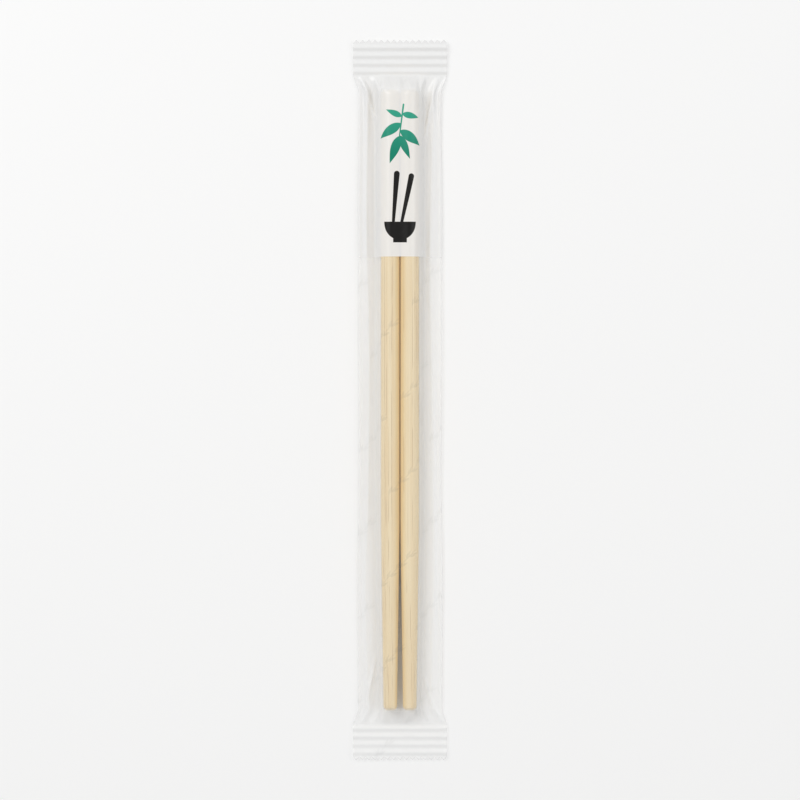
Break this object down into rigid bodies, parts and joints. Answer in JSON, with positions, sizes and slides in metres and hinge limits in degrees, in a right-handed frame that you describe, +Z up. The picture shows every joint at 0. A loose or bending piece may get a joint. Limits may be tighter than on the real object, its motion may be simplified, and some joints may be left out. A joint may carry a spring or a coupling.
{
  "type": "pair of disposable chopsticks",
  "caption": "Round bamboo chopsticks with tapered tips, a pair side by side in a sealed clear film sleeve with ribbed, toothed ends; disposable eating utensils.",
  "frame": {"origin": "on the surface that the sleeve lies on, under the middle of the sleeve", "axes": "+Y along the sticks towards their heads, +X across the sleeve, +Z up, out of the sleeve's printed front"},
  "size_m": [0.0296, 0.227, 0.0067],
  "materials": {
    "film": "clear film with a soft gloss, printed white over the sticks' heads",
    "bamboo": "plain turned bamboo, pale straw yellow with fine lengthwise fibres"
  },
  "bodies": {
    "root": {"film_sleeve": "film", "left_stick": "bamboo", "right_stick": "bamboo"}
  },
  "joints": []
}
